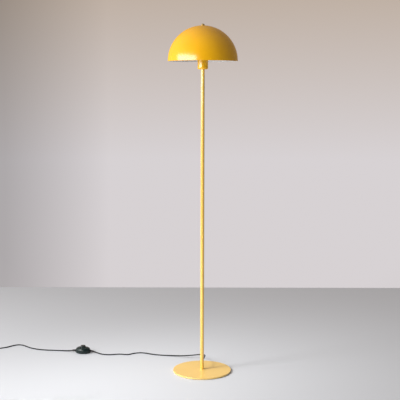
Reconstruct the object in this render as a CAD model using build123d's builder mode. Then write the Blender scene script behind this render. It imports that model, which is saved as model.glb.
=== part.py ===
from build123d import *
import math
import os

# Mushroom floor lamp. Millimetres, +Z up, origin on the floor at the centre of the base.
# The front faces -Y, the mains cord leaves low at the rear (+Y) and lies to the left (-X).

# ---------- driving dimensions ----------

# fits
fit_gap = 0.05  # radial clearance of pressed, turned and threaded pieces
seat_gap = 0.05  # between the finial and the shade's crown
rest_gap = 0.3  # under a piece that a spring holds against its stop

# base
pad_diameter = 243.0
pad_thickness = 1.5
pad_hole_diameter = 24.0
plate_diameter = 253.0
plate_thickness = 6.0
plate_edge_radius = 1.0
base_screw_diameter = 8.0
base_screw_head_diameter = 16.0
base_screw_length = 17.0
base_screw_recess = 0.2
base_screw_socket = 5.0  # across flats
base_screw_socket_depth = 3.0
countersink_angle = 90.0

# pole
pole_diameter = 16.0
pole_wall = 1.2
lower_pole_length = 651.0
upper_pole_length = 651.0
foot_insert_length = 14.0
pole_edge_chamfer = 0.3  # at the seam of the two lengths
collar_length = 20.0
nipple_diameter = 10.0
nipple_bore = 6.4
nipple_grip = 14.0  # how far a nipple reaches into each collar
nipple_reach = 10.0  # how far the top nipple reaches into the lampholder

# mains cord
cord_diameter = 5.0
cord_exit_height = 47.0
cord_exit_turn = 12.0  # of the exit from straight behind, towards +X, degrees
corner_share = 0.45  # share of the shorter run that a cord's bend uses
lead_offset = 4.0  # the lead runs this far in front of the pole's axis above its bend
lead_rise = 30.0
lead_return = 50.0

# bushing where the cord leaves the pole
bushing_neck_diameter = 9.0
bushing_lip_diameter = 10.4
bushing_lip_thickness = 1.3
bushing_flange_diameter = 12.0
bushing_flange_thickness = 2.0
bushing_tail_root_diameter = 10.0
bushing_tail_tip_diameter = 7.2
bushing_tail_length = 24.0
bushing_approach = 26.0  # straight run of the cord beyond the tail's tip

# cup round the lampholder
cup_diameter = 44.0
cup_height = 52.0
cup_wall = 1.2
cup_corner_radius = 6.0
cup_washer_diameter = 20.0
cup_washer_thickness = 1.0

# lampholder
holder_cap_diameter = 38.0
holder_cap_height = 20.0
holder_cap_wall = 2.0
holder_cap_corner_radius = 2.0
holder_boss_diameter = 16.0
holder_boss_height = 10.0
holder_collar_diameter = 34.8
holder_collar_height = 6.0
block_diameter = 31.0
block_height = 12.0
block_ledge_width = 2.0
block_pocket_diameter = 5.0
block_pocket_depth = 4.0
block_pocket_spread = 18.0
block_pocket_angle = 45.0  # of the pockets from the X axis, degrees
skirt_diameter = 39.8
skirt_height = 40.0
skirt_wall = 2.0
socket_wall = 2.0
shade_ring_diameter = 54.0
shade_ring_flange = 2.0
shade_ring_height = 6.0
shade_ring_wall = 2.6
shade_ring_notches = 12
shade_ring_notch_radius = 3.0
contact_rise = 8.0  # from the contact block up to the bulb's tip
contact_width = 6.0
contact_thickness = 0.5
contact_foot = 5.0
contact_tip = 4.0
side_contact_radius = 11.2

# bulb, E27 with a pear-shaped glass
bulb_cap_diameter = 26.2
bulb_cap_height = 26.0
bulb_tip_diameter = 9.0
bulb_tip_height = 1.0
bulb_insulator_diameter = 22.0
bulb_insulator_height = 4.0
bulb_shell_chamfer = 2.0
bulb_length = 106.0
bulb_diameter = 60.0
bulb_glass_wall = 1.0
bulb_shoulder_angle = 35.0
bulb_socket_gap = 0.15

# bracket that carries the shade
bracket_width = 80.0
bracket_height = 127.5
bracket_strip_width = 12.0
bracket_strip_thickness = 2.0
bracket_top_radius = 30.0
bracket_foot_radius = 8.0
gallery_diameter = 54.0
gallery_gap = 0.4
stud_diameter = 6.0
stud_head_diameter = 11.0
stud_head_height = 2.0
stud_above_crown = 6.0
crown_washer_diameter = 16.0
crown_washer_thickness = 1.0

# shade
shade_diameter = 294.0
shade_wall = 1.0
shade_land_radius = 10.0  # flat land pressed at the crown
shade_hem_radius = 1.1

# finial
finial_foot_diameter = 16.8
finial_foot_height = 1.4
finial_neck_diameter = 13.4
finial_neck_height = 0.6
finial_ball_diameter = 15.4
finial_height = 8.0
finial_bore_depth = 6.6

# foot switch
switch_x = -556.0
switch_y = 268.0
switch_turn = -8.0  # of the long axis about Z, degrees
switch_length = 70.0
switch_width = 56.0
switch_height = 27.0
switch_foot_height = 1.0
switch_wall = 2.0
switch_crown_radius = 15.0
switch_keel_radius = 4.0
switch_split = 10.0  # height of the parting plane, and of the cord's axis in the switch
switch_shadow_gap = 0.5  # depth and height of the groove between the shells
switch_collar_diameter = 30.0
switch_collar_height = 1.2
switch_foot_diameter = 8.0
switch_foot_spread_x = 40.0
switch_foot_spread_y = 24.0
switch_boss_diameter = 6.4
switch_boss_spread = 40.0
switch_screw_diameter = 2.6
switch_screw_head_diameter = 5.0
switch_screw_head_height = 1.6
switch_screw_length = 16.0
switch_boss_cap = 2.8  # solid boss above a screw's tip

# push button
button_diameter = 24.0
button_height = 35.0  # of its top above the floor
button_wall = 1.8
button_edge_radius = 2.5
button_recess_diameter = 16.0
button_recess_depth = 0.6
button_flange_diameter = 26.8
button_flange_thickness = 1.8
button_gap = 0.3
button_travel = 3.0
button_stem_diameter = 5.0
button_stem_bore_depth = 5.6
button_stem_end_gap = 0.9  # left under the stem at full travel
button_spring_diameter = 11.0  # mean
button_spring_wire = 1.0
button_spring_turns = 5
button_spring_end_gap = 0.1

# contact block, terminals and cord clamps in the switch
switch_block_length = 24.0
switch_block_width = 16.0
switch_block_height = 9.0
terminal_length = 3.0
terminal_width = 9.0
terminal_height = 7.0
saddle_length = 6.0
saddle_width = 20.0
saddle_distance = 22.0
clamp_thickness = 2.0
clamp_screw_spread = 14.0
clamp_screw_diameter = 2.4
clamp_screw_head_diameter = 4.4
clamp_screw_head_height = 1.4
clamp_screw_length = 7.0

# rubber sleeves where the cord enters the switch
sleeve_lip_diameter = 11.0
sleeve_lip_thickness = 1.8
sleeve_lip_inset = 3.6  # of the lip's outer face behind the end of the shell
sleeve_neck_diameter = 8.4
sleeve_collar_diameter = 11.0
sleeve_collar_thickness = 2.0
sleeve_root_diameter = 10.0
sleeve_tip_diameter = 7.2
sleeve_tail_length = 13.0
sleeve_sideways = 12.0  # bend of the tail in plan, degrees
sleeve_droop = 12.0  # bend of the tail towards the floor, degrees
sleeve_stations = 4
sleeve_approach = 20.0  # straight run of the cord beyond a sleeve's tip

# put-away coil of the cord
coil_x = -1009.0
coil_y = 280.0
coil_radius = 33.0
coil_pitch = 5.5  # from turn to turn, and from layer to layer
coil_half_turns = 4  # spiralling in on the floor, before the climb
coil_approach = 16.0  # straight run of the cord at the coil

# plug, flat two-pin type
plug_x = -1047.0
plug_tail_y = 228.5
plug_width = 35.5
plug_thickness = 13.7
plug_body_length = 36.0
plug_cheek_length = 14.0
plug_shoulder_width = 15.0
plug_edge_radius = 2.6
plug_grip_count = 4  # grooves across each broad face
plug_grip_pitch = 3.2
plug_grip_length = 13.0
plug_grip_width = 1.4
plug_grip_depth = 0.5
plug_relief_length = 26.0
plug_relief_root_diameter = 11.0
plug_relief_tip_diameter = 7.2
plug_relief_overlap = 3.0
plug_approach = 16.0  # straight run of the cord at the plug
plug_pin_spacing = 18.6
plug_pin_diameter = 4.0
plug_pin_length = 19.0
plug_pin_tip_length = 9.0
plug_pin_core_diameter = 3.0
plug_pin_depth = 8.0
plug_pin_rounding = 1.2


# ---------- helpers ----------


def corner_radii(points):
    """The bend radius at each inner point of a cord's route, as large as its two runs allow."""
    radii = []
    for before, corner, after in zip(points, points[1:], points[2:]):
        run_in = Vector(*corner) - Vector(*before)
        run_out = Vector(*after) - Vector(*corner)
        half_turn = math.radians(run_in.get_angle(run_out)) / 2
        radii.append(corner_share * min(run_in.length, run_out.length) / math.tan(half_turn))
    return radii


def biarc(start, heading, end, end_heading):
    """Two tangent arcs that leave start along heading and reach end along end_heading."""
    chord = end - start
    both = heading + end_heading
    a = both.dot(both) - 4
    b = -2 * chord.dot(both)
    c = chord.dot(chord)
    reach = (-b - math.sqrt(b * b - 4 * a * c)) / (2 * a)
    first_corner = start + heading * reach
    second_corner = end - end_heading * reach
    meeting = (first_corner + second_corner) / 2
    TangentArc(start, meeting, tangent=heading)
    TangentArc(meeting, end, tangent=second_corner - first_corner)


def least_self_gap(path, thickness, turn_length):
    """Least clear distance of a wound tube to itself, from points along its centre line."""
    spot_spacing = 1.5
    next_turn = 0.6  # share of a turn from which two spots may lie side by side
    steps = int(path.length / spot_spacing)
    spots = [path @ (i / steps) for i in range(steps + 1)]
    apart = int(next_turn * turn_length / spot_spacing)
    return min(
        (spots[i] - spots[j]).length - thickness
        for i in range(len(spots))
        for j in range(i + apart, len(spots))
    )


def report_tube(name, part, path, radii):
    """Print a tube's volume against its section times its length, and its tightest bend."""
    expected = math.pi * cord_diameter**2 / 4 * path.length
    print(f"{name}: length {path.length:.1f}, volume {part.volume / expected:.4f} of section x length")
    print(f"{name}: bend radii {[round(r) for r in radii]}")


def save(builder, label):
    """Label a finished piece and write it to its own file."""
    builder.part.label = label
    export_step(builder.part, f"parts/{label}.step")


os.makedirs("parts", exist_ok=True)

# ---------- levels worked out from the sizes ----------

plate_top = pad_thickness + plate_thickness
pole_seam = plate_top + lower_pole_length
pole_top = pole_seam + upper_pole_length
pole_bore_radius = pole_diameter / 2 - pole_wall
cup_top = pole_top + cup_height
holder_bottom = pole_top + cup_wall + cup_washer_thickness
holder_cap_top = holder_bottom + holder_cap_height
block_bottom = holder_cap_top + holder_collar_height - block_height
block_top = block_bottom + block_height
skirt_top = holder_cap_top + skirt_height
bulb_tip = block_top + contact_rise
bracket_top = cup_top + bracket_height
crown_underside = bracket_top + crown_washer_thickness
crown_top = crown_underside + shade_wall

# ---------- base ----------

# Foam rubber pad glued under the plate, open round the screw.
with BuildPart() as base_pad:
    with BuildSketch():
        Circle(pad_diameter / 2)
        Circle(pad_hole_diameter / 2, mode=Mode.SUBTRACT)
    extrude(amount=pad_thickness)
save(base_pad, "base_pad")

# Heavy steel plate, its edges broken, countersunk from below.
with BuildPart() as base_plate:
    with BuildSketch(Plane.XY.offset(pad_thickness)):
        Circle(plate_diameter / 2)
    extrude(amount=plate_thickness)
    fillet(base_plate.edges().filter_by(GeomType.CIRCLE), radius=plate_edge_radius)
    with Locations(base_plate.faces().sort_by(Axis.Z)[0]):
        CounterSinkHole(
            radius=base_screw_diameter / 2 + fit_gap,
            counter_sink_radius=base_screw_head_diameter / 2 + base_screw_recess + fit_gap,
            counter_sink_angle=countersink_angle,
        )
save(base_plate, "base_plate")

# Countersunk socket screw that pulls the pole's foot onto the plate.
screw_face = pad_thickness + base_screw_recess
with BuildPart() as base_screw:
    with BuildSketch(Plane.XZ):
        with BuildLine():
            Polyline(
                (0, screw_face),
                (base_screw_head_diameter / 2, screw_face),
                (
                    base_screw_diameter / 2,
                    screw_face + (base_screw_head_diameter - base_screw_diameter) / 2,
                ),
                (base_screw_diameter / 2, screw_face + base_screw_length),
                (0, screw_face + base_screw_length),
                close=True,
            )
        make_face()
    revolve(axis=Axis.Z)
    with BuildSketch(Plane.XY.offset(screw_face)):
        RegularPolygon(radius=base_screw_socket / 2, side_count=6, major_radius=False)
    extrude(amount=base_screw_socket_depth, mode=Mode.SUBTRACT)
save(base_screw, "base_screw")

# ---------- pole ----------

# Threaded steel insert pressed into the pole's foot.
with BuildPart() as foot_insert:
    with BuildSketch(Plane.XY.offset(plate_top)):
        Circle(pole_bore_radius - fit_gap)
        Circle(base_screw_diameter / 2 + fit_gap, mode=Mode.SUBTRACT)
    extrude(amount=foot_insert_length)
save(foot_insert, "foot_insert")

# Lower tube, with the hole for the cord's bushing at the rear.
exit_turn = math.radians(cord_exit_turn)
exit_centre = Vector(0, 0, cord_exit_height)
exit_way = Vector(math.sin(exit_turn), math.cos(exit_turn), 0)
with BuildPart() as pole_lower:
    with BuildSketch(Plane.XY.offset(plate_top)):
        Circle(pole_diameter / 2)
        Circle(pole_bore_radius, mode=Mode.SUBTRACT)
    extrude(amount=lower_pole_length)
    chamfer(
        pole_lower.edges().group_by(Axis.Z)[-1].sort_by(SortBy.RADIUS)[-1], length=pole_edge_chamfer
    )
    with BuildSketch(Plane(origin=exit_centre, z_dir=exit_way)):
        Circle(bushing_neck_diameter / 2 + fit_gap)
    extrude(amount=pole_diameter, mode=Mode.SUBTRACT)
save(pole_lower, "pole_lower")

# Upper tube.
with BuildPart() as pole_upper:
    with BuildSketch(Plane.XY.offset(pole_seam)):
        Circle(pole_diameter / 2)
        Circle(pole_bore_radius, mode=Mode.SUBTRACT)
    extrude(amount=upper_pole_length)
    chamfer(
        pole_upper.edges().group_by(Axis.Z)[0].sort_by(SortBy.RADIUS)[-1], length=pole_edge_chamfer
    )
save(pole_upper, "pole_upper")


def threaded_collar(bottom):
    """A steel collar pressed into a tube's end, bored for a hollow nipple."""
    with BuildPart() as collar:
        with BuildSketch(Plane.XY.offset(bottom)):
            Circle(pole_bore_radius - fit_gap)
            Circle(nipple_diameter / 2 + fit_gap, mode=Mode.SUBTRACT)
        extrude(amount=collar_length)
    return collar


def hollow_nipple(bottom, top):
    """A length of hollow threaded rod that the lead passes through."""
    with BuildPart() as nipple:
        with BuildSketch(Plane.XY.offset(bottom)):
            Circle(nipple_diameter / 2)
            Circle(nipple_bore / 2, mode=Mode.SUBTRACT)
        extrude(amount=top - bottom)
    return nipple


save(threaded_collar(pole_seam - collar_length), "lower_collar")
save(threaded_collar(pole_seam), "upper_collar")
save(threaded_collar(pole_top - collar_length), "top_collar")
save(hollow_nipple(pole_seam - nipple_grip, pole_seam + nipple_grip), "joint_nipple")
save(hollow_nipple(pole_top - nipple_grip, holder_bottom + nipple_reach), "top_nipple")

# Rubber bushing snapped into the rear hole, with a tapered tail that guards the cord.
bushing_lip_radius = bushing_lip_diameter / 2
lip_outer = math.sqrt(pole_bore_radius**2 - bushing_lip_radius**2) - fit_gap
flange_inner = pole_diameter / 2 + fit_gap
tail_root = flange_inner + bushing_flange_thickness
tail_end = tail_root + bushing_tail_length
bore_radius = cord_diameter / 2 + fit_gap
with BuildPart() as cord_bushing:
    with BuildSketch(Plane(origin=exit_centre, x_dir=exit_way, z_dir=exit_way.cross(Vector(0, 0, 1)))):
        with BuildLine():
            Polyline(
                (lip_outer - bushing_lip_thickness, bore_radius),
                (lip_outer - bushing_lip_thickness, bushing_lip_radius),
                (lip_outer, bushing_lip_radius),
                (lip_outer, bushing_neck_diameter / 2),
                (flange_inner, bushing_neck_diameter / 2),
                (flange_inner, bushing_flange_diameter / 2),
                (tail_root, bushing_flange_diameter / 2),
                (tail_root, bushing_tail_root_diameter / 2),
                (tail_end, bushing_tail_tip_diameter / 2),
                (tail_end, bore_radius),
                close=True,
            )
        make_face()
    revolve(axis=Axis(exit_centre, exit_way))
save(cord_bushing, "cord_bushing")

# The cord's stretch inside the lamp: in through the bushing, up the pole, to the contact block.
lead_bend = lip_outer - bushing_lip_thickness + lead_offset
tail_tip = exit_centre + exit_way * tail_end
lead_foot = exit_centre - exit_way * lead_offset
lead_points = [
    tuple(tail_tip),
    tuple(lead_foot),
    (lead_foot.X, lead_foot.Y, cord_exit_height + lead_rise),
    (0, 0, cord_exit_height + lead_rise + lead_return),
    (0, 0, block_bottom),
]
with BuildPart() as inner_lead:
    with BuildLine() as lead_line:
        FilletPolyline(*lead_points, radius=[lead_bend] + corner_radii(lead_points)[1:])
    with BuildSketch(Plane(origin=tail_tip, z_dir=-exit_way)):
        Circle(cord_diameter / 2)
    sweep(path=lead_line.wires()[0])
save(inner_lead, "inner_lead")

# ---------- lampholder ----------

# Painted cup: a drawn shell with a rounded bottom corner, clamped on the pole's top.
with BuildPart() as holder_cup:
    with BuildSketch(Plane.XY.offset(pole_top)):
        Circle(cup_diameter / 2)
    extrude(amount=cup_height)
    fillet(holder_cup.edges().sort_by(Axis.Z)[0], radius=cup_corner_radius)
    offset(amount=-cup_wall, openings=holder_cup.faces().sort_by(Axis.Z)[-1])
    with Locations(holder_cup.faces().sort_by(Axis.Z)[0]):
        Hole(radius=nipple_diameter / 2 + fit_gap, depth=cup_corner_radius)
save(holder_cup, "holder_cup")

# Plain washer between the cup's bottom and the lampholder.
with BuildPart() as cup_washer:
    with BuildSketch(Plane.XY.offset(pole_top + cup_wall)):
        Circle(cup_washer_diameter / 2)
        Circle(nipple_diameter / 2 + fit_gap, mode=Mode.SUBTRACT)
    extrude(amount=cup_washer_thickness)
save(cup_washer, "cup_washer")

# Lower half of the lampholder: threaded boss, ledge for the block, collar for the skirt.
cap_bore = holder_collar_diameter / 2 - holder_cap_wall
ledge_radius = cap_bore - block_ledge_width
with BuildPart() as holder_cap:
    with BuildSketch(Plane.XZ) as cap_section:
        with BuildLine():
            Polyline(
                (nipple_diameter / 2 + fit_gap, holder_bottom),
                (holder_cap_diameter / 2, holder_bottom),
                (holder_cap_diameter / 2, holder_cap_top),
                (holder_collar_diameter / 2, holder_cap_top),
                (holder_collar_diameter / 2, block_top),
                (cap_bore, block_top),
                (cap_bore, block_bottom),
                (ledge_radius, block_bottom),
                (ledge_radius, holder_bottom + holder_cap_wall),
                (holder_boss_diameter / 2, holder_bottom + holder_cap_wall),
                (holder_boss_diameter / 2, holder_bottom + holder_boss_height),
                (nipple_diameter / 2 + fit_gap, holder_bottom + holder_boss_height),
                close=True,
            )
        make_face()
        lowest = cap_section.vertices().group_by(Axis.Y)[0]
        fillet(lowest.sort_by(Axis.X)[-1], radius=holder_cap_corner_radius)
    revolve(axis=Axis.Z)
save(holder_cap, "holder_cap")

# Round block that carries the contacts, with two pockets for its terminal screws.
with BuildPart() as contact_block:
    with BuildSketch(Plane.XY.offset(block_bottom)):
        Circle(min(block_diameter / 2, cap_bore - fit_gap))
    extrude(amount=block_height)
    with Locations(contact_block.faces().sort_by(Axis.Z)[-1]):
        with PolarLocations(block_pocket_spread / 2, 2, start_angle=block_pocket_angle):
            Hole(radius=block_pocket_diameter / 2, depth=block_pocket_depth)
save(contact_block, "contact_block")

# Spring tongue under the bulb's tip.
with BuildPart() as centre_contact:
    with BuildSketch(Plane.XZ):
        with BuildLine():
            Polyline(
                (-contact_tip / 2 - contact_rise / 2 - contact_foot, block_top),
                (-contact_tip / 2 - contact_rise / 2, block_top),
                (-contact_tip / 2, bulb_tip - contact_thickness),
                (contact_tip / 2, bulb_tip - contact_thickness),
                (contact_tip / 2, bulb_tip),
                (-contact_tip / 2 - contact_thickness, bulb_tip),
                (-contact_tip / 2 - contact_rise / 2 - contact_thickness, block_top + contact_thickness),
                (-contact_tip / 2 - contact_rise / 2 - contact_foot, block_top + contact_thickness),
                close=True,
            )
        make_face()
    extrude(amount=contact_width / 2, both=True)
save(centre_contact, "centre_contact")

# Two upright tongues under the lower rim of the bulb's shell.
side_contact_height = contact_rise + bulb_insulator_height - rest_gap
with BuildPart() as side_contacts:
    with BuildSketch(Plane.XY.offset(block_top)):
        with PolarLocations(side_contact_radius, 2, start_angle=90):
            Rectangle(contact_thickness, contact_width)
    extrude(amount=side_contact_height)
save(side_contacts, "side_contacts")

# Upper half of the lampholder: outer wall threaded for the shade ring, inner wall for the bulb.
socket_radius = bulb_cap_diameter / 2 + bulb_socket_gap
with BuildPart() as holder_skirt:
    with BuildSketch(Plane.XZ):
        with BuildLine():
            Polyline(
                (holder_collar_diameter / 2 + fit_gap, holder_cap_top),
                (skirt_diameter / 2, holder_cap_top),
                (skirt_diameter / 2, skirt_top),
                (socket_radius, skirt_top),
                (socket_radius, block_top),
                (socket_radius + socket_wall, block_top),
                (socket_radius + socket_wall, skirt_top - skirt_wall),
                (skirt_diameter / 2 - skirt_wall, skirt_top - skirt_wall),
                (skirt_diameter / 2 - skirt_wall, block_top + holder_cap_wall),
                (holder_collar_diameter / 2 + fit_gap, block_top + holder_cap_wall),
                close=True,
            )
        make_face()
    revolve(axis=Axis.Z)
save(holder_skirt, "holder_skirt")

# Threaded ring that clamps the bracket's gallery onto the cup, notched for the fingers.
ring_bottom = cup_top + bracket_strip_thickness
with BuildPart() as shade_ring:
    with BuildSketch(Plane.XY.offset(ring_bottom)):
        Circle(shade_ring_diameter / 2)
        with PolarLocations(shade_ring_diameter / 2 + shade_ring_notch_radius / 2, shade_ring_notches):
            Circle(shade_ring_notch_radius, mode=Mode.SUBTRACT)
    extrude(amount=shade_ring_flange)
    with BuildSketch(Plane.XY.offset(ring_bottom)):
        Circle(skirt_diameter / 2 + fit_gap + shade_ring_wall)
    extrude(amount=shade_ring_height)
    with Locations(shade_ring.faces().sort_by(Axis.Z)[-1]):
        Hole(radius=skirt_diameter / 2 + fit_gap)
save(shade_ring, "shade_ring")

# ---------- bulb ----------

# Screw cap: centre contact, insulator and metal shell.
with BuildPart() as bulb_cap:
    with BuildSketch(Plane.XZ):
        with BuildLine():
            Polyline(
                (0, bulb_tip),
                (bulb_tip_diameter / 2, bulb_tip),
                (bulb_tip_diameter / 2, bulb_tip + bulb_tip_height),
                (bulb_insulator_diameter / 2, bulb_tip + bulb_insulator_height),
                (bulb_cap_diameter / 2 - bulb_shell_chamfer / 2, bulb_tip + bulb_insulator_height),
                (bulb_cap_diameter / 2, bulb_tip + bulb_insulator_height + bulb_shell_chamfer),
                (bulb_cap_diameter / 2, bulb_tip + bulb_cap_height),
                (0, bulb_tip + bulb_cap_height),
                close=True,
            )
        make_face()
    revolve(axis=Axis.Z)
save(bulb_cap, "bulb_cap")

# Thin glass: a ball with its shoulders drawn in to the neck.
ball_centre = bulb_tip + bulb_length - bulb_diameter / 2
neck_bottom = bulb_tip + bulb_cap_height


def glass_line(shrink):
    """Half the glass's outline, moved inwards by shrink: from the crown over the ball to the neck."""
    radius = bulb_diameter / 2 - shrink
    shoulder = math.radians(bulb_shoulder_angle)
    joint = (radius * math.cos(shoulder), ball_centre - radius * math.sin(shoulder))
    CenterArc((0, ball_centre), radius, 90, -90 - bulb_shoulder_angle)
    TangentArc(
        joint,
        (bulb_cap_diameter / 2 - shrink, neck_bottom),
        tangent=(-math.sin(shoulder), -math.cos(shoulder)),
    )


with BuildPart() as bulb_glass:
    with BuildSketch(Plane.XZ):
        with BuildLine():
            glass_line(0)
            glass_line(bulb_glass_wall)
            Line(
                (bulb_cap_diameter / 2, neck_bottom),
                (bulb_cap_diameter / 2 - bulb_glass_wall, neck_bottom),
            )
            Line(
                (0, ball_centre + bulb_diameter / 2),
                (0, ball_centre + bulb_diameter / 2 - bulb_glass_wall),
            )
        make_face()
    revolve(axis=Axis.Z)
save(bulb_glass, "bulb_glass")

# ---------- bracket and shade ----------

# One steel strip bent round the bulb, its foot widened to a gallery that sits on the cup.
bracket_middle = cup_top + bracket_height / 2
with BuildPart() as shade_bracket:
    with BuildSketch(Plane.XZ) as strip_outline:
        with Locations((0, bracket_middle)):
            Rectangle(bracket_width, bracket_height)
        fillet(strip_outline.vertices().group_by(Axis.Y)[-1], radius=bracket_top_radius)
        fillet(strip_outline.vertices().group_by(Axis.Y)[0], radius=bracket_foot_radius)
        offset(amount=-bracket_strip_thickness, mode=Mode.SUBTRACT)
    extrude(amount=bracket_strip_width / 2, both=True)
    with BuildSketch(Plane.XY.offset(cup_top)):
        Circle(gallery_diameter / 2)
    extrude(amount=bracket_strip_thickness)
    with BuildSketch(Plane.XY.offset(cup_top)):
        Circle(skirt_diameter / 2 + gallery_gap)
    extrude(amount=bracket_strip_thickness, mode=Mode.SUBTRACT)
    with Locations(shade_bracket.faces().sort_by(Axis.Z)[-1]):
        Hole(radius=stud_diameter / 2 + fit_gap, depth=bracket_strip_thickness)
save(shade_bracket, "shade_bracket")

# Threaded stud riveted in the bracket's top; it comes out through the crown.
stud_bottom = bracket_top - bracket_strip_thickness - stud_head_height
with BuildPart() as bracket_stud:
    with BuildSketch(Plane.XY.offset(stud_bottom)):
        Circle(stud_head_diameter / 2)
    extrude(amount=stud_head_height)
    with BuildSketch(Plane.XY.offset(stud_bottom)):
        Circle(stud_diameter / 2)
    extrude(amount=crown_top + stud_above_crown - stud_bottom)
save(bracket_stud, "bracket_stud")

# Washer between the bracket and the crown.
with BuildPart() as crown_washer:
    with BuildSketch(Plane.XY.offset(bracket_top)):
        Circle(crown_washer_diameter / 2)
        Circle(stud_diameter / 2 + fit_gap, mode=Mode.SUBTRACT)
    extrude(amount=crown_washer_thickness)
save(crown_washer, "crown_washer")

# Half-round metal dome with a flat land at the crown and a rolled hem at the rim.
dome_radius = shade_diameter / 2
dome_centre = crown_top - math.sqrt(dome_radius**2 - shade_land_radius**2)
inner_radius = dome_radius - shade_wall
outer_angle = math.degrees(math.acos(shade_land_radius / dome_radius))
inner_angle = math.degrees(math.asin((crown_underside - dome_centre) / inner_radius))
with BuildPart() as shade:
    with BuildSketch(Plane.XZ):
        with BuildLine():
            outer_dome = CenterArc((0, dome_centre), dome_radius, 0, outer_angle)
            inner_dome = CenterArc((0, dome_centre), inner_radius, 0, inner_angle)
            Line((dome_radius, dome_centre), (inner_radius, dome_centre))
            Polyline(
                outer_dome @ 1,
                (stud_diameter / 2 + fit_gap, crown_top),
                (stud_diameter / 2 + fit_gap, crown_underside),
                inner_dome @ 1,
            )
        make_face()
        with Locations((dome_radius - shade_hem_radius, dome_centre)):
            Circle(shade_hem_radius)
    revolve(axis=Axis.Z)
save(shade, "shade")

# Turned brass knob on the stud: foot, neck and ball.
finial_bottom = crown_top + seat_gap
ball_radius = finial_ball_diameter / 2
ball_level = finial_bottom + finial_height - ball_radius
neck_bottom_level = finial_bottom + finial_foot_height
neck_top_level = neck_bottom_level + finial_neck_height
ball_start = math.degrees(math.asin((neck_top_level - ball_level) / ball_radius))
with BuildPart() as finial:
    with BuildSketch(Plane.XZ):
        with BuildLine():
            ball = CenterArc((0, ball_level), ball_radius, ball_start, 90 - ball_start)
            Polyline(
                ball @ 1,
                (0, finial_bottom + finial_bore_depth),
                (stud_diameter / 2 + fit_gap, finial_bottom + finial_bore_depth),
                (stud_diameter / 2 + fit_gap, finial_bottom),
                (finial_foot_diameter / 2, finial_bottom),
                (finial_foot_diameter / 2, neck_bottom_level),
                (finial_neck_diameter / 2, neck_bottom_level),
                (finial_neck_diameter / 2, neck_top_level),
                ball @ 0,
            )
        make_face()
    revolve(axis=Axis.Z)
save(finial, "finial")

# ---------- foot switch ----------

turn = math.radians(switch_turn)
switch_ground = Plane(
    origin=(switch_x, switch_y, 0), x_dir=(math.cos(turn), math.sin(turn), 0), z_dir=(0, 0, 1)
)
switch_axis = Axis((switch_x, switch_y, 0), (0, 0, 1))
switch_side = Plane(origin=(switch_x, switch_y, 0), x_dir=switch_ground.x_dir, z_dir=-switch_ground.y_dir)
switch_floor = switch_foot_height + switch_wall
switch_ceiling = switch_height - switch_wall
saddle_top = switch_split + cord_diameter / 2


def pebble(shrink):
    """The oval body of the switch, with every face moved inwards by shrink."""
    with BuildPart() as form:
        with BuildSketch(switch_ground.offset(switch_foot_height + shrink)):
            Ellipse(switch_length / 2 - shrink, switch_width / 2 - shrink)
        extrude(amount=switch_height - switch_foot_height - 2 * shrink)
        fillet(form.edges().sort_by(Axis.Z)[-1], radius=switch_crown_radius - shrink)
        fillet(form.edges().sort_by(Axis.Z)[0], radius=switch_keel_radius - shrink)
    return form.part


def sleeve_frame(side):
    """The plane at a sleeve's tail root: X out of the switch, the tail bends in its XY plane."""
    out_angle = turn if side > 0 else turn + math.pi
    bent_angle = out_angle - math.radians(sleeve_sideways)
    droop = math.radians(sleeve_droop)
    outward = Vector(math.cos(out_angle), math.sin(out_angle), 0)
    bent = Vector(
        math.cos(bent_angle) * math.cos(droop), math.sin(bent_angle) * math.cos(droop), -math.sin(droop)
    )
    root = Vector(switch_x, switch_y, switch_split) + outward * (
        switch_length / 2 + fit_gap + sleeve_collar_thickness
    )
    return Plane(origin=root, x_dir=outward, z_dir=outward.cross(bent)), outward.get_angle(bent)


def cord_entry(side):
    """The cord's centre line at one end of the switch, from its terminal to the tip of its sleeve."""
    frame, bend = sleeve_frame(side)
    inside = switch_length / 2 + fit_gap + sleeve_collar_thickness - switch_block_length / 2 - terminal_length
    with BuildLine(frame) as entry:
        Line((-inside, 0), (0, 0))
        JernArc((0, 0), (1, 0), sleeve_tail_length / math.radians(bend), bend)
    return entry.wires()[0]


entries = {side: cord_entry(side) for side in (1, -1)}

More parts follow.
